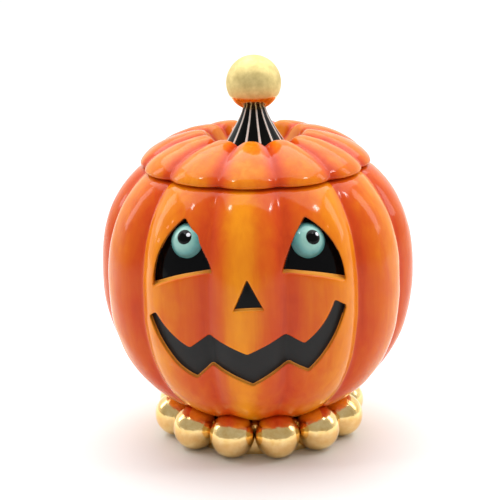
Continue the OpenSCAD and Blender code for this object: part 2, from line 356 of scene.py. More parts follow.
def carved_distance(points):
    """Distance in millimetres from the nearest carved outline, less than 0 inside a shape."""
    nearest = np.full(len(points), np.inf)
    for outline in outlines:
        best = np.full(len(points), np.inf)
        inside = np.zeros(len(points), bool)
        for start, end in zip(outline, np.roll(outline, -1, 0)):
            run = end - start
            share = np.clip((points - start) @ run / (run @ run), 0, 1)
            best = np.minimum(best, np.hypot(*(points - start - share[:, None] * run).T))
            spans = (start[1] > points[:, 1]) != (end[1] > points[:, 1])
            cut = start[0] + (points[:, 1] - start[1]) * run[0] / (run[1] or 1)
            inside ^= spans & (points[:, 0] < cut)
        nearest = np.minimum(nearest, np.where(inside, -best, best))
    return nearest


# Section through the edge of a carving: distance from the outline in mm, and share of the depth
edge_section = np.array([
    (-1.6, 1), (-1.0, 0.985), (-0.6, 0.93), (-0.3, 0.78), (-0.15, 0.55), (0, 0.32),
    (0.12, 0.21), (0.35, 0.12), (0.65, 0.055), (1.0, 0.012), (1.3, 0),
])
carved_depth = 4 * mm
eye_depth = 6 * mm
eyes_above = 10 * mm  # the eyes lie above this height over the belly,
eyes_beyond = 17 * mm  # and farther than this from the middle
settle_steps = 30


def carve(angle, z):
    """Points of the carved front at an angle and a height, their distance from the outlines, and
    how the nearest edge lies: 1 along the top of a hole and -1 along its bottom."""
    x = body_radius(angle, z) * np.sin(angle)
    flat = np.stack([x, z - belly_z], axis=1) / mm
    distance = carved_distance(flat)
    edge_side = (carved_distance(flat + (0, 0.2)) - carved_distance(flat - (0, 0.2))) / 0.4
    in_eyes = (z > belly_z + eyes_above) & (np.abs(x) > eyes_beyond)
    depth = np.where(in_eyes, eye_depth, carved_depth)
    drop = np.interp(distance, edge_section[:, 0], edge_section[:, 1]) * depth
    turn = angle.copy()
    for _ in range(settle_steps):
        turn = np.arcsin(np.clip(x / (body_radius(turn, z) - drop), -1, 1))
    return on_ring(body_radius(turn, z) - drop, turn, z), distance, edge_side


angles = np.arange(columns) * math.tau / columns
side_rows = 96
round_rows = 6
heights = np.concatenate([
    np.linspace(floor_z, rim_z - rim_round, side_rows),
    rim_z - rim_round * (1 - np.sin(np.linspace(0, math.pi / 2, round_rows + 1)[1:])),
])
grid_angle, grid_z = np.meshgrid(angles, heights)
outside = on_ring(body_radius(grid_angle, grid_z), grid_angle, grid_z)
uncarved = 9.0  # the distance given to every point that is nowhere near a carving
outside_mark = np.full(grid_z.shape, uncarved)

# Window of the grid that holds the carvings. Cells near an outline are replaced by a finer net.
window_half = 60
window_low, window_high = belly_z - 66 * mm, belly_z + 70 * mm
fine_reach = 2.6  # cells this near an outline, in mm, are replaced
grid_clear = 2.1  # and the grid's own points stay this far from it
window_cols = np.arange(-window_half, window_half + 1)
row_step = heights[1] - heights[0]
low_row = int((window_low - floor_z) / row_step)
high_row = int((window_high - floor_z) / row_step)
window_rows = np.arange(low_row, high_row + 1)
col_step = math.tau / columns
win_angle, win_z = np.meshgrid(window_cols * col_step, heights[window_rows])
win_points, win_distance, win_side = carve(win_angle.ravel(), win_z.ravel())
win_distance = win_distance.reshape(win_z.shape)
outside[np.ix_(window_rows, window_cols % columns)] = win_points.reshape(win_z.shape + (3,))
outside_mark[np.ix_(window_rows, window_cols % columns)] = win_distance
outside_side = np.zeros(grid_z.shape)
outside_side[np.ix_(window_rows, window_cols % columns)] = win_side.reshape(win_z.shape)
near = np.abs(win_distance) < fine_reach
fine_cell = near[:-1, :-1] | near[1:, :-1] | near[:-1, 1:] | near[1:, 1:]

# Net points: the grid's own around the fine cells, and rows that follow each outline
net_scale = 115.0  # mm of width in the net for each radian
outline_settle = 40
same_row = 0.03  # how far a point of a row may be from its true distance, in mm
row_gap = 1.7  # points of a row farther apart than this aren't joined
net_points, net_edges, net_at = [], [], {}


def net_point(a, z):
    """Adds a point at an angle and a height to the net and gives its number."""
    net_points.append(Vector((a * net_scale, z / mm)))
    return len(net_points) - 1


fine_rows, fine_cols = fine_cell.shape
for j in range(fine_rows + 1):
    for i in range(fine_cols + 1):
        around = fine_cell[max(0, j - 1) : j + 1, max(0, i - 1) : i + 1]
        if around.any() and abs(win_distance[j, i]) > grid_clear:
            net_at[j, i] = net_point(win_angle[j, i], win_z[j, i])
for j in range(fine_rows + 1):
    for i in range(fine_cols + 1):
        side = j < fine_rows and (
            (i > 0 and fine_cell[j, i - 1]) != (i < fine_cols and fine_cell[j, i])
        )
        level = i < fine_cols and (
            (j > 0 and fine_cell[j - 1, i]) != (j < fine_rows and fine_cell[j, i])
        )
        if side:
            net_edges.append((net_at[j, i], net_at[j + 1, i]))
        if level:
            net_edges.append((net_at[j, i], net_at[j, i + 1]))

for outline in outlines:
    ahead = np.roll(outline, -1, 0) - np.roll(outline, 1, 0)
    outward = np.stack([ahead[:, 1], -ahead[:, 0]], axis=1) / np.hypot(*ahead.T)[:, None]
    if carved_distance(outline[:1] + outward[:1] * 0.2)[0] < 0:
        outward = -outward
    for level in edge_section[:, 0]:
        row = outline + outward * level
        row = row[np.abs(carved_distance(row) - level) < same_row]
        z = row[:, 1] * mm + belly_z
        turn = np.arcsin(row[:, 0] * mm / jar_r)
        for _ in range(outline_settle):
            turn = np.arcsin(np.clip(row[:, 0] * mm / body_radius(turn, z), -1, 1))
        ids = [net_point(a, h) for a, h in zip(turn, z)]
        for (here, there), (p, q) in zip(zip(ids, ids[1:] + ids[:1]), zip(row, np.roll(row, -1, 0))):
            if np.hypot(*(p - q)) < row_gap:
                net_edges.append((here, there))

net = geometry.delaunay_2d_cdt(net_points, net_edges, [], 0, 1e-5, True)
net_angle = np.array([p.x for p in net[0]]) / net_scale
net_z = np.array([p.y for p in net[0]]) * mm
net_xyz, net_distance, net_side = carve(net_angle, net_z)
net_source = [[k for k in source if k < len(net_at)] for source in net[3]]
net_grid = {index: place for place, index in net_at.items()}

points = [tuple(p) for p in outside.reshape(-1, 3)]
marks_distance = list(outside_mark.ravel())
marks_angle = list(grid_angle.ravel())
marks_side = list(outside_side.ravel())
net_index = []
for k, source in enumerate(net_source):
    if source:
        j, i = net_grid[source[0]]
        net_index.append(int(window_rows[j] * columns + window_cols[i] % columns))
    else:
        net_index.append(len(points))
        points.append(tuple(net_xyz[k]))
        marks_distance.append(net_distance[k])
        marks_angle.append(net_angle[k])
        marks_side.append(net_side[k])

faces = []
for j in range(len(heights) - 1):
    for i in range(columns):
        col = (i if i <= window_half else i - columns) + window_half
        if low_row <= j < high_row and 0 <= col < fine_cols and fine_cell[j - low_row, col]:
            continue
        here, right = j * columns + i, j * columns + (i + 1) % columns
        faces.append((here, right, right + columns, here + columns))
for a, b, c in net[2]:
    mid_col = (net_angle[a] + net_angle[b] + net_angle[c]) / 3 / col_step + window_half
    mid_row = ((net_z[a] + net_z[b] + net_z[c]) / 3 - floor_z) / row_step - low_row
    in_window = 0 <= mid_row < fine_rows and 0 <= mid_col < fine_cols
    if in_window and fine_cell[int(mid_row), int(mid_col)]:
        faces.append((net_index[a], net_index[b], net_index[c]))
points = np.array(points)

# Rim, neck, hollow and the flat bottom
mouth_r = rim_r - rim_round - depth_at(rim_r) - rim_land
neck_z = rim_z - neck_h
hollow_top = neck_z - shoulder_h
hollow_low = 2 * bead_r + 5 * mm
hollow_corner = 6 * mm
hollow_heights = np.linspace(hollow_top, hollow_low + hollow_corner, 22)
inside_rows = [
    on_ring(
        rim_r - rim_round - depth_at(rim_r) * valley(angles) - 1 * mm, angles, rim_z - 0.05 * mm
    ),
    on_ring(mouth_r + 1.2 * mm, angles, rim_z),
    on_ring(mouth_r + 0.35 * mm, angles, rim_z - 0.35 * mm),
    on_ring(mouth_r, angles, rim_z - 1.2 * mm),
    on_ring(mouth_r, angles, neck_z),
]
inside_rows += [
    on_ring(crest(z) - wall - depth_at(crest(z)) * valley(angles), angles, z) for z in hollow_heights
]
hollow_r = crest(hollow_heights[-1]) - wall - depth_at(crest(hollow_heights[-1])) * valley(angles)
inside_rows += [
    on_ring(hollow_r - 1.5 * mm, angles, hollow_low + 2.5 * mm),
    on_ring(hollow_r - 5 * mm, angles, hollow_low + 0.4 * mm),
    on_ring(hollow_r - 10 * mm, angles, hollow_low),
    on_ring(hollow_r * 0.5, angles, hollow_low),
]
under_rows = [
    on_ring(floor_r - 1 * mm, angles, floor_z),
    on_ring(floor_r * 0.75, angles, floor_z),
    on_ring(floor_r * 0.3, angles, floor_z),
]
inside_start = len(points)
inside = np.concatenate([row.reshape(-1, 3) for row in inside_rows] + [[(0, 0, hollow_low)]])
under_start = inside_start + len(inside)
under = np.concatenate([row.reshape(-1, 3) for row in under_rows] + [[(0, 0, floor_z)]])
points = np.concatenate([points, inside, under])
rim_row = (len(heights) - 1) * columns
faces += [
    (rim_row + i, rim_row + (i + 1) % columns, inside_start + (i + 1) % columns, inside_start + i)
    for i in range(columns)
]
faces += ring_faces(len(inside_rows), closed_last=True, start=inside_start)
faces += [
    (under_start + i, under_start + (i + 1) % columns, (i + 1) % columns, i) for i in range(columns)
]
faces += [face[::-1] for face in ring_faces(len(under_rows), closed_last=True, start=under_start)]

# Sockets: the underside is pressed clear of the beads
bead_angles = rib_pitch * (np.arange(rib_count) + 0.5)
bead_centres = on_ring(bead_ring_r, bead_angles, bead_r)
for centre in bead_centres:
    away = points - centre
    gap = np.linalg.norm(away, axis=1)
    inside_bead = gap < bead_r + glue
    points[inside_bead] = centre + away[inside_bead] / gap[inside_bead, None] * (bead_r + glue)

rest = len(points) - len(marks_distance)
marks_distance = np.concatenate([marks_distance, np.full(rest, uncarved)])
marks_side = np.concatenate([marks_side, np.zeros(rest)])
marks_angle = np.concatenate([marks_angle, np.arctan2(points[-rest:, 0], -points[-rest:, 1])])
marks_angle = (marks_angle + math.pi) % math.tau - math.pi


def glaze_marks(angle):
    """How far into a valley each point lies, and how red its part of the rib was sprayed, from
    -1 to 1: on the side nearer the middle of the face, and on both sides of the middle rib."""
    rib = np.round(angle / rib_pitch)
    across = (angle / rib_pitch - rib) * np.where(rib > 0, -1, 1)
    middle = 1 - 1.8 * np.exp(-(((across + 0.08) / 0.22) ** 2))
    return {
        "valley": valley(angle),
        "flank": np.where(rib == 0, middle, np.tanh(3.2 * (across + 0.08))),
    }


def orange_glaze(name, crest_colour, valley_coat, side_coat, carved):
    """Orange underglaze airbrushed over white clay, under a clear gloss glaze: a deep wet shine
    with a slow ripple, and gold that turns brick red across a rib through soft brush marks."""
    material, tree, output = new_material(name)
    place = add_node(tree, "ShaderNodeTexCoord").outputs["Object"]
    valley_mark = add_node(tree, "ShaderNodeAttribute", attribute_name="valley").outputs["Fac"]
    flank_mark = add_node(tree, "ShaderNodeAttribute", attribute_name="flank").outputs["Fac"]
    # brush marks: 8 mm wide and eight times as long up the rib
    stretch = add_node(tree, "ShaderNodeMapping", {"Vector": place, "Scale": (1.0, 1.0, 0.12)})
    streaks = add_node(
        tree,
        "ShaderNodeTexNoise",
        {
            "Vector": stretch.outputs["Vector"],
            "Scale": 130.0,
            "Detail": 4.0,
            "Roughness": 0.6,
            "Distortion": 0.5,
        },
    )
    clouds = add_node(
        tree, "ShaderNodeTexNoise", {"Vector": place, "Scale": 28.0, "Detail": 3.0, "Roughness": 0.55}
    )
    spread = add_node(
        tree,
        "ShaderNodeMapRange",
        {"Value": valley_mark, "From Min": 0.1, "From Max": 1.0, "To Max": valley_coat},
        interpolation_type="SMOOTHSTEP",
    )
    lean = add_node(
        tree, "ShaderNodeMath", {0: flank_mark, 1: side_coat, 2: spread.outputs["Result"]},
        operation="MULTIPLY_ADD",
    )
    brushed = add_node(
        tree, "ShaderNodeMath", {0: streaks.outputs["Fac"], 1: 0.5, 2: lean.outputs[0]},
        operation="MULTIPLY_ADD",
    )
    clouded = add_node(
        tree, "ShaderNodeMath", {0: clouds.outputs["Fac"], 1: 0.5, 2: brushed.outputs[0]},
        operation="MULTIPLY_ADD",
    )
    coats = add_node(
        tree, "ShaderNodeMapRange", {"Value": clouded.outputs[0], "From Min": 0.15, "From Max": 1.3}
    )
    tone = add_node(
        tree, "ShaderNodeValToRGB", {"Fac": coats.outputs["Result"]},
        stops=(
            (0.0, crest_colour), (0.3, "#DF760F"), (0.5, "#D65E10"), (0.75, "#CD4611"), (1.0, "#B8330D"),
        ),
    )
    colour = tone.outputs["Color"]
    if carved:
        # painted shade: dark brown down the upper walls of the carving, which face down out of the light
        wiped = add_node(tree, "ShaderNodeAttribute", attribute_name="wiped").outputs["Fac"]
        shade_mix = add_node(
            tree,
            "ShaderNodeMix",
            {"Factor": wiped, "A": colour, "B": linear("#7A3410")},
            data_type="RGBA",
        )
        # painted highlight: light orange along the lower edges, whose walls face up to the light
        thin = add_node(tree, "ShaderNodeAttribute", attribute_name="thin").outputs["Fac"]
        lit_lip_mix = add_node(
            tree,
            "ShaderNodeMix",
            {"Factor": thin, "A": shade_mix.outputs["Result"], "B": linear("#FBB04A")},
            data_type="RGBA",
        )
        colour = lit_lip_mix.outputs["Result"]
    ripple = add_node(
        tree, "ShaderNodeTexNoise", {"Vector": place, "Scale": 55.0, "Detail": 2.0, "Roughness": 0.4}
    )
    ripple_bump = add_node(
        tree, "ShaderNodeBump", {"Height": ripple.outputs["Fac"], "Strength": 0.35, "Distance": 0.0012}
    )
    gloss = add_node(
        tree, "ShaderNodeMapRange", {"Value": clouds.outputs["Fac"], "To Min": 0.07, "To Max": 0.13}
    )
    shader = add_node(
        tree,
        "ShaderNodeBsdfPrincipled",
        {
            "Base Color": colour,
            "Roughness": gloss.outputs["Result"],
            "IOR": 1.52,
            "Specular IOR Level": 0.22,
            "Normal": ripple_bump.outputs["Normal"],
        },
    )
    tree.links.new(shader.outputs["BSDF"], output.inputs["Surface"])
    return material


def black_floor(name, code, brushed, roughness, shine):
    """Black slip brushed on the carved floors: faint brush drag, and its own shine."""
    material, tree, output = new_material(name)
    place = add_node(tree, "ShaderNodeTexCoord").outputs["Object"]
    drag = add_node(
        tree, "ShaderNodeTexNoise", {"Vector": place, "Scale": 220.0, "Detail": 3.0, "Distortion": 0.4}
    )
    tone = add_node(
        tree,
        "ShaderNodeMix",
        {"Factor": drag.outputs["Fac"], "A": linear(code), "B": linear(brushed)},
        data_type="RGBA",
    )
    bump = add_node(
        tree, "ShaderNodeBump", {"Height": drag.outputs["Fac"], "Strength": 0.12, "Distance": 0.0004}
    )
    shader = add_node(
        tree,
        "ShaderNodeBsdfPrincipled",
        {
            "Base Color": tone.outputs["Result"],
            "Roughness": roughness,
            "IOR": 1.5,
            "Specular IOR Level": shine,
            "Normal": bump.outputs["Normal"],
        },
    )
    tree.links.new(shader.outputs["BSDF"], output.inputs["Surface"])
    return material


body_glaze = orange_glaze("body_glaze", "#EE9114", valley_coat=0.2, side_coat=0.36, carved=True)
eye_floor = black_floor("black_gloss_slip", "#010101", "#08080A", 0.12, 0.12)
mouth_floor = black_floor("charcoal_matt_slip", "#1A1A1A", "#141415", 0.5, 0.3)
face_distance = np.array([np.mean(marks_distance[list(face)]) for face in faces])
face_side = np.array([np.mean(marks_side[list(face)]) for face in faces])
face_x, _, face_z = points[[face[0] for face in faces]].T

# The slip starts inside a hole's outline by so many mm, and farther in along its bottom edge
# and along the top of the eye holes
slip_start, slip_start_far = -0.42, -0.9
at_bottom = face_side < -0.3
at_eye_top = (face_side > 0.4) & (face_z > belly_z + 30 * mm)
slip_edge = np.where(at_bottom | at_eye_top, slip_start_far, slip_start)
below_nose = face_z < belly_z - 8 * mm
beside_nose = (face_z < belly_z + 8 * mm) & (np.abs(face_x) > 20 * mm)
slip = np.where(below_nose | beside_nose, 2, 1)
floor_finish = np.where(face_distance < slip_edge, slip, 0)
at_edge = np.clip((0.45 - marks_distance) / 0.6, 0, 1)
# painted shade: dark brown near the outline on the upper walls of a hole
wiped = 0.85 * at_edge * np.clip(0.1 + marks_side, 0, 1)
# painted highlight: light orange near the outline on the lower lips of a hole
thin = 0.8 * at_edge * np.clip(-marks_side, 0, 1)
add_piece(
    "jar_body_glazed", points, faces, "jar", "orange_glaze", "jar_body",
    [body_glaze, eye_floor, mouth_floor], floor_finish,
    wiped=wiped, thin=thin, **glaze_marks(marks_angle),
)

# ------------------------------------------------------------------ foot
# A ring of cast earthenware closed into twelve ball feet, one under each valley. Ring and
# balls are gilded with leaf over a red-brown size, burnished until they mirror what is near.


def gold_leaf(name, patch, dark, light, matt):
    """Gold leaf over a ball, with the faint seams and clouding of its sheets: a mirror where it
    was burnished, a soft even gold where it was left matt."""
    material, tree, output = new_material(name)
    place = add_node(tree, "ShaderNodeTexCoord").outputs["Object"]
    sheets = add_node(
        tree,
        "ShaderNodeTexNoise",
        {"Vector": place, "Scale": 1 / patch, "Detail": 5.0, "Roughness": 0.62},
    )
    seams = add_node(
        tree, "ShaderNodeTexVoronoi", {"Vector": place, "Scale": 1.1 / patch, "Randomness": 1.0},
        feature="DISTANCE_TO_EDGE",
    )
    seam = add_node(
        tree,
        "ShaderNodeMapRange",
        {"Value": seams.outputs["Distance"], "From Min": 0.0, "From Max": 0.12},
    )
    tone = add_node(
        tree, "ShaderNodeValToRGB", {"Fac": sheets.outputs["Fac"]}, stops=((0.32, dark), (0.7, light))
    )
    gloss = add_node(
        tree,
        "ShaderNodeMapRange",
        {
            "Value": sheets.outputs["Fac"],
            "From Min": 0.3,
            "From Max": 0.75,
            "To Min": 0.1,
            "To Max": 0.22,
        },
    )
    burnished = add_node(tree, "ShaderNodeAttribute", attribute_name="burnished").outputs["Fac"]
    polish = add_node(
        tree, "ShaderNodeMix", {"Factor": burnished, "A": matt, "B": gloss.outputs["Result"]}
    )
    height = add_node(
        tree, "ShaderNodeMath", {0: seam.outputs["Result"], 1: 0.3, 2: sheets.outputs["Fac"]},
        operation="MULTIPLY_ADD",
    )
    bump = add_node(
        tree, "ShaderNodeBump", {"Height": height.outputs[0], "Strength": 0.18, "Distance": 0.0006}
    )
    shader = add_node(
        tree,
        "ShaderNodeBsdfPrincipled",
        {
            "Base Color": tone.outputs["Color"],
            "Metallic": 1.0,
            "Roughness": polish.outputs["Result"],
            "Normal": bump.outputs["Normal"],
        },
    )
    tree.links.new(shader.outputs["BSDF"], output.inputs["Surface"])
    return material


foot_leaf = gold_leaf("foot_leaf", 9 * mm, "#F0C678", "#FFE3A4", 0.5)
foot_inset, foot_w = 6 * mm, 19 * mm
foot_r = bead_ring_r - foot_inset
foot_in_r = foot_r - foot_w
ball_rough = 0.12 * mm
foot_section = [
    (foot_in_r, 1 * mm), (foot_in_r, floor_z), (foot_r - 1 * mm, floor_z),
    (foot_r, floor_z - 1 * mm), *((foot_r, z * mm) for z in range(22, 2, -1)),
    (foot_r - 0.4 * mm, 0.4 * mm), (foot_r - 1.2 * mm, 0), (foot_in_r + 1 * mm, 0),
]
foot_rows = []
for r, z in foot_section:
    row = on_ring(r, angles, z).copy()
    for centre in bead_centres:
        across = bead_r**2 - (z - bead_r) ** 2
        if across <= 0:
            continue
        away = row[:, :2] - centre[:2]
        gap = np.hypot(*away.T)
        clear = math.sqrt(across) + glue
        within = (gap < clear) & (r > foot_in_r + 1.5 * mm)
        row[within, :2] = centre[:2] + away[within] / gap[within, None] * clear
    foot_rows.append(row)
foot_points = np.concatenate(foot_rows)
foot_faces = [face[::-1] for face in ring_faces(len(foot_rows))]
last_row = (len(foot_rows) - 1) * columns
foot_faces += [
    (i, (i + 1) % columns, last_row + (i + 1) % columns, last_row + i) for i in range(columns)
]
add_piece(
    "foot_ring_gilt", foot_points, foot_faces, "jar", "gilt", "foot_ring", [foot_leaf],
    burnished=np.ones(len(foot_points)),
)


def ball_mesh(centre, radius, dent, rows=48, around=96, seed=0):
    """A hand-finished ball: rings from the bottom to the top, nowhere larger than radius."""
    waves = np.random.default_rng(seed)
    ways = waves.normal(size=(6, 3))
    rises = np.linspace(-math.pi / 2, math.pi / 2, rows + 2)[1:-1]
    turn, rise = np.meshgrid(np.arange(around) * math.tau / around, rises)
    out = np.stack([np.cos(rise) * np.sin(turn), -np.cos(rise) * np.cos(turn), np.sin(rise)], axis=-1)
    out = np.concatenate([out.reshape(-1, 3), [(0, 0, -1), (0, 0, 1)]])
    hollows = 0.5 + 0.5 * np.tanh(sum(np.sin(out @ way * 3 + k) for k, way in enumerate(ways)) / 2)
    ball = np.array(centre) + out * (radius - dent * hollows)[:, None]
    return ball, ring_faces(rows, closed_first=True, closed_last=True, count=around)


for number in range(1, rib_count + 1):
    node = f"bead_{number:02d}"
    low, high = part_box(node)
    ball, ball_faces = ball_mesh((low + high) / 2, bead_r, ball_rough, seed=number)
    add_piece(
        f"{node}_gilt", ball, ball_faces, "jar", "gilt", node, [foot_leaf],
        burnished=np.ones(len(ball)),
    )

# ------------------------------------------------------------------ eyes
# Two clay domes bedded in the carved eye holes, glazed sea green, each with a raised drop
# of black enamel for the pupil and a white dot on it that is a painted highlight.
eye_r = 14.75 * mm
eye_x = 47 * mm
eye_z = belly_z + 51.5 * mm
eye_proud = 1 * mm
eye_seat = eye_depth + 2 * mm
pupil_r = 5.5 * mm
pupil_proud = 0.8 * mm
eye_crest = float(crest(np.array(eye_z)))
eye_turn = math.asin(eye_x / eye_crest)
eye_lean = math.atan(float(crest(np.array(eye_z - mm)) - crest(np.array(eye_z + mm))) / (2 * mm))
eye_sink = eye_r - eye_proud


def green_glaze():
    """Sea-green glaze: a glassy coat, darkened towards the edge of the dome as painted shade where the
    dome turns away into its hole.
    """
    material, tree, output = new_material("sea_green_glaze")
    place = add_node(tree, "ShaderNodeTexCoord").outputs["Object"]
    edge = add_node(tree, "ShaderNodeAttribute", attribute_name="edge").outputs["Fac"]
    pools = add_node(tree, "ShaderNodeTexNoise", {"Vector": place, "Scale": 140.0, "Detail": 3.0})
    mixed = add_node(
        tree, "ShaderNodeMath", {0: pools.outputs["Fac"], 1: 0.25, 2: edge}, operation="MULTIPLY_ADD"
    )
    tone = add_node(
        tree, "ShaderNodeValToRGB", {"Fac": mixed.outputs[0]},
        stops=((0.2, "#9CC8BC"), (0.62, "#8DBDB2"), (0.85, "#5F9C98"), (1.0, "#3F7776")),
    )
    shader = add_node(
        tree,
        "ShaderNodeBsdfPrincipled",
        {
            "Base Color": tone.outputs["Color"],
            "Roughness": 0.08,
            "IOR": 1.52,
            "Specular IOR Level": 0.4,
        },
    )
    tree.links.new(shader.outputs["BSDF"], output.inputs["Surface"])
    return material


def black_enamel():
    """Thick black enamel, glossy as glass, with a white dot towards the upper right that is a painted
    highlight.
    """
    material, tree, output = new_material("black_enamel")
    # the white mixed in below is a painted highlight
    dot = add_node(tree, "ShaderNodeAttribute", attribute_name="dot").outputs["Fac"]
    tone = add_node(
        tree,
        "ShaderNodeMix",
        {"Factor": dot, "A": linear("#010101"), "B": linear("#E6E6EC")},
        data_type="RGBA",
    )
    shader = add_node(
        tree,
        "ShaderNodeBsdfPrincipled",
        {
            "Base Color": tone.outputs["Result"],
            "Roughness": 0.06,
            "IOR": 1.5,
            "Specular IOR Level": 0.15,
        },
    )
    tree.links.new(shader.outputs["BSDF"], output.inputs["Surface"])
    return material


eye_glaze = green_glaze()
pupil_enamel = black_enamel()
dome_count = 96
dome_turn = np.arange(dome_count) * math.tau / dome_count
for side, name, gaze_turn, gaze_lift in ((-1, "left", -18, 29), (1, "right", 30, 27)):
    upright = Matrix.Rotation(side * eye_turn, 4, "Z")
    seat = upright @ Matrix.Translation((0, -eye_crest, eye_z))
    dome_at = (
        seat
        @ Matrix.Rotation(math.pi / 2 - eye_lean, 4, "X")
        @ Matrix.Translation((0, 0, -eye_sink))
    )
    # the dome, from the middle of its front to its flat back
    back_z = eye_sink - eye_seat
    polar = np.linspace(0, math.acos(back_z / eye_r), 40)[1:]
    rows = [(eye_r * math.sin(a), eye_r * math.cos(a)) for a in polar]
    rows.append((rows[-1][0] * 0.6, back_z))
    dome = np.array([
        (r * math.cos(t), r * math.sin(t), z) for r, z in rows for t in dome_turn
    ] + [(0, 0, eye_r), (0, 0, back_z)])
    # edge runs from 0 in the middle of the dome to 1 at its rim, where the glaze is darkened as painted
    # shade
    edge = np.concatenate([np.repeat([min(1, r / (14 * mm)) for r, z in rows], dome_count), [0, 1]])
    placed = np.array([dome_at @ Vector(p) for p in dome])
    dome_faces = [
        f[::-1]
        for f in ring_faces(len(rows), closed_first=True, closed_last=True, count=dome_count)
    ]
    add_piece(
        f"{name}_eyeball_glazed", placed, dome_faces, "jar", "eye_glaze", f"{name}_eyeball",
        [eye_glaze], edge=edge,
    )
    # the pupil, a low drop that flows out thin at its edge
    gaze = (
        Matrix.Translation(dome_at.translation)
        @ Matrix.Rotation(math.radians(gaze_turn), 4, "Z")
        @ Matrix.Rotation(math.radians(90 - gaze_lift), 4, "X")
    )
    rows = []
    reach = math.asin(pupil_r / eye_r)
    for share in np.linspace(0, 1, 16)[1:]:
        lift = pupil_proud * (1 - share**4)
        rows.append(((eye_r + lift) * math.sin(reach * share), (eye_r + lift) * math.cos(reach * share)))
    rows.append((rows[-1][0] * 0.7, math.sqrt(eye_r**2 - (rows[-1][0] * 0.7) ** 2) + 0.1 * mm))
    drop = np.array([
        (r * math.cos(t), r * math.sin(t), z) for r, z in rows for t in dome_turn
    ] + [(0, 0, eye_r + pupil_proud), (0, 0, eye_r + 0.1 * mm)])
    # the white dot is a painted highlight towards the upper right of the pupil
    dot_place = np.array([0.58 * pupil_r, 0.3 * pupil_r])
    dot_gap = np.hypot(*(drop[:, :2] - dot_place).T)
    dot = np.clip((1.45 * mm - dot_gap) / (0.3 * mm) + 0.5, 0, 1) * (drop[:, 2] > eye_r - 1.2 * mm)
    placed = np.array([gaze @ Vector(p) for p in drop])
    drop_faces = [
        f[::-1]
        for f in ring_faces(len(rows), closed_first=True, closed_last=True, count=dome_count)
    ]
    add_piece(
        f"{name}_pupil_enamel", placed, drop_faces, "jar", "pupil_glaze", f"{name}_pupil",
        [pupil_enamel], dot=dot,
    )

# ------------------------------------------------------------------ lid
# Slip-cast like the jar, its ribs in line with the jar's. It dips to a flat seat under the
# stem and has a plain flange below that drops into the mouth. It lifts straight off.
lid_r = lid_high.x
lid_z = rim_z + 1.2 * mm
lid_rise = lid_high.z - lid_z
lid_crest_r = 41 * mm
lid_power = 1.55
lid_edge = 1.5 * mm
seat_h = 12 * mm
stem_foot_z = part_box("stem")[0].z
stem_foot_r = 26 * mm
stem_seat_r = stem_foot_r + 0.5 * mm
lid_depth = float(depth_at(lid_r))
flange_r = mouth_r - 1 * mm
flange_z = lid_low.z

smooth_rows = 3
lid_rough = 0.3 * mm
smooth_seat = 9 * mm  # the unevenness fades out over this distance from the stem's seat
lid_rows = [
    (lid_r - 6 * mm, 0.0, 1.0, 0.0),
    (lid_r - lid_edge, 0.0, 1.0, 0.0),
    (lid_r - 0.45 * lid_edge, 0.18 * lid_edge, 1.0, 0.0),
]
for turn in np.linspace(0, math.pi / 2, 44):
    share = turn / (math.pi / 2)
    r = lid_crest_r + (lid_r - lid_crest_r) * math.cos(turn) ** (2 / lid_power)
    rise = lid_edge + (lid_rise - lid_edge) * math.sin(turn) ** (2 / lid_power)
    lid_rows.append((r, rise, 1 - share, share))
for share in np.linspace(0, 1, 24)[1:]:
    r = lid_crest_r + (stem_seat_r - lid_crest_r) * share
    rise = lid_rise + (seat_h - lid_rise) * (1 - math.cos(math.pi * share)) / 2
    lid_rows.append((r, rise, 0.0, 1 - share))
lid_points = []
for k, (r, rise, out, up) in enumerate(lid_rows):
    sink = lid_depth * valley(angles)
    fade = min(1, (up + out) * max(0, r - stem_seat_r) / smooth_seat)
    rough = unevenness(angles, r * 1.7, lid_rough) * (0 if k < smooth_rows else fade)
    lid_points.append(
        on_ring(r - sink * out - rough * out, angles, lid_z + rise - sink * up - rough * up)
    )
lid_points.append(on_ring(3.4 * mm, angles, lid_z + seat_h))
roof_z = lid_z + seat_h - 6 * mm
for r, z in (
    (3.4 * mm, roof_z), (12 * mm, roof_z), (lid_crest_r, lid_z + lid_rise - lid_depth - 6 * mm),
    (flange_r - 5 * mm, lid_z + 1 * mm), (flange_r - 5 * mm, flange_z + 1 * mm),
    (flange_r - 4 * mm, flange_z), (flange_r - 1 * mm, flange_z), (flange_r, flange_z + 1 * mm),
    (flange_r, lid_z),
):
    lid_points.append(on_ring(r, angles, z))
lid_mesh_points = np.concatenate(lid_points)
lid_faces = ring_faces(len(lid_points))
last_row = (len(lid_points) - 1) * columns
lid_faces += [
    (last_row + i, last_row + (i + 1) % columns, (i + 1) % columns, i) for i in range(columns)
]
lid_angle = (np.tile(angles, len(lid_points)) + math.pi) % math.tau - math.pi
lid_glaze = orange_glaze("lid_glaze", "#F0A030", valley_coat=0.6, side_coat=0.06, carved=False)
add_piece(
    "lid_glazed", lid_mesh_points, lid_faces, "lid_assembly", "orange_glaze", "lid", [lid_glaze],
    **glaze_marks(lid_angle),
)

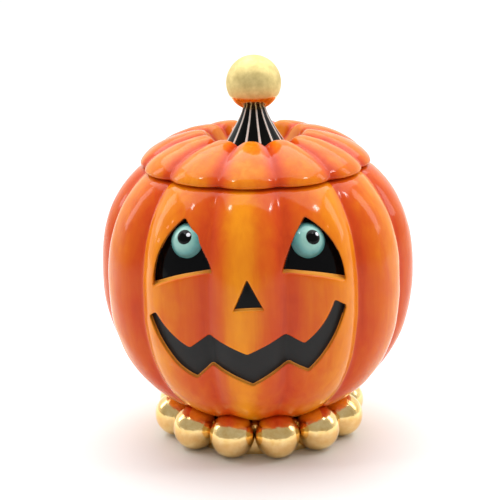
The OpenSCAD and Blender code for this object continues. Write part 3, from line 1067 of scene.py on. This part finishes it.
# ------------------------------------------------------------------ stem
# A flared stem of black-glazed clay with twelve raised slip lines left white, one over each
# valley of the lid. It stands on the lid's flat seat and carries the ball.
stem_h = 31 * mm
stem_top_z = stem_foot_z + stem_h
neck_r = 9 * mm
line_h = 0.6 * mm
stem_flare = 1.25
stem_rows, line_mark = [], []
off = 1 - 2 * np.abs((angles / rib_pitch + 0.5) % 1 - 0.5)
for share in np.concatenate([np.linspace(0, 0.97, 48), [1.0]]):
    r = neck_r + (stem_foot_r - neck_r) * (1 - share) ** stem_flare
    across = off * rib_pitch / 2 * r
    half = (1.05 - 0.4 * share) * mm
    line = np.sqrt(np.clip(1 - (across / half) ** 2, 0, 1))
    z = stem_foot_z + (stem_top_z - stem_foot_z) * share
    stem_rows.append(on_ring(r - line_h * (1 - line), angles, z))
    line_mark.append(np.clip((half * 1.02 - across) / (0.15 * mm), 0, 1))
stem_points = np.concatenate(stem_rows + [[(0, 0, stem_foot_z), (0, 0, stem_top_z)]])
line_mark = np.concatenate(line_mark + [[0, 0]])
stem_faces = ring_faces(len(stem_rows), closed_first=True, closed_last=True)


def black_glaze():
    """Black gloss glaze with white slip lines that stand proud of it."""
    material, tree, output = new_material("black_and_white_glaze")
    line = add_node(tree, "ShaderNodeAttribute", attribute_name="line").outputs["Fac"]
    place = add_node(tree, "ShaderNodeTexCoord").outputs["Object"]
    grain = add_node(tree, "ShaderNodeTexNoise", {"Vector": place, "Scale": 260.0, "Detail": 3.0})
    white = add_node(
        tree, "ShaderNodeValToRGB", {"Fac": grain.outputs["Fac"]},
        stops=((0.0, "#CFC9C0"), (1.0, "#F6F2EC")),
    )
    tone = add_node(
        tree,
        "ShaderNodeMix",
        {"Factor": line, "A": linear("#030302"), "B": white.outputs["Color"]},
        data_type="RGBA",
    )
    bump = add_node(
        tree, "ShaderNodeBump", {"Height": grain.outputs["Fac"], "Strength": 0.15, "Distance": 0.0003}
    )
    shader = add_node(
        tree,
        "ShaderNodeBsdfPrincipled",
        {
            "Base Color": tone.outputs["Result"],
            "Roughness": 0.1,
            "IOR": 1.52,
            "Specular IOR Level": 0.12,
            "Normal": bump.outputs["Normal"],
        },
    )
    tree.links.new(shader.outputs["BSDF"], output.inputs["Surface"])
    return material


add_piece(
    "stem_glazed", stem_points, stem_faces, "lid_assembly", "black_glaze", "stem",
    [black_glaze()], line=line_mark,
)

# ------------------------------------------------------------------ ball
# The ball on top, gilded like the foot, threaded on the stud that passes through the stem.
ball_low, ball_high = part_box("gold_ball")
ball, ball_faces = ball_mesh(
    (ball_low + ball_high) / 2, (ball_high.z - ball_low.z) / 2, ball_rough, rows=72, around=144, seed=40
)
ball_leaf = gold_leaf("ball_leaf", 7 * mm, "#CDB97C", "#E6D497", 0.62)
# burnished only round the stem, up to a line this far above the ball's lowest point
burnished_h = 12 * mm
burnished = np.clip((ball_low.z + burnished_h - ball[:, 2]) / (1.2 * mm) + 0.5, 0, 1)
add_piece(
    "gold_ball_gilt", ball, ball_faces, "lid_assembly", "gilt", "gold_ball", [ball_leaf],
    burnished=burnished,
)

# ------------------------------------------------------------------ seal and fixing
# A clear silicone ring under the lid, and inside the lid a steel stud, washer and nut. They
# keep their plain shapes and only take their finishes here.


def silicone():
    """Clear silicone rubber: soft, a little cloudy, with fine moulding marks."""
    material, tree, output = new_material("clear_silicone")
    place = add_node(tree, "ShaderNodeTexCoord").outputs["Object"]
    haze = add_node(tree, "ShaderNodeTexNoise", {"Vector": place, "Scale": 300.0, "Detail": 2.0})
    tone = add_node(tree, "ShaderNodeValToRGB", {"Fac": haze.outputs["Fac"]})
    tone.color_ramp.elements[0].color = linear("#D9D6CF")
    tone.color_ramp.elements[1].color = linear("#EFEDE8")
    shader = add_node(
        tree,
        "ShaderNodeBsdfPrincipled",
        {"Base Color": tone.outputs["Color"], "Roughness": 0.35, "IOR": 1.41, "Transmission Weight": 0.3},
    )
    tree.links.new(shader.outputs["BSDF"], output.inputs["Surface"])
    return material


def turned_steel():
    """Zinc-plated steel: dull grey metal with fine turning lines 0.4 mm apart."""
    material, tree, output = new_material("turned_steel")
    place = add_node(tree, "ShaderNodeTexCoord").outputs["Object"]
    lines = add_node(
        tree, "ShaderNodeTexWave", {"Vector": place, "Scale": 2500 / math.tau, "Distortion": 0.6},
        bands_direction="Z",
    )
    bump = add_node(
        tree, "ShaderNodeBump", {"Height": lines.outputs["Fac"], "Strength": 0.3, "Distance": 0.0001}
    )
    gloss = add_node(
        tree, "ShaderNodeMapRange", {"Value": lines.outputs["Fac"], "To Min": 0.25, "To Max": 0.38}
    )
    shader = add_node(
        tree,
        "ShaderNodeBsdfPrincipled",
        {
            "Base Color": linear("#B9BCBE"),
            "Metallic": 1.0,
            "Roughness": gloss.outputs["Result"],
            "Normal": bump.outputs["Normal"],
        },
    )
    tree.links.new(shader.outputs["BSDF"], output.inputs["Surface"])
    return material


seal_rubber = silicone()
fixing_steel = turned_steel()
for node, material in (
    ("lid_seal", seal_rubber), ("stud", fixing_steel), ("washer", fixing_steel), ("nut", fixing_steel)
):
    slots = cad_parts[node].material_slots
    for index in range(len(slots)):
        slots[index].material = material
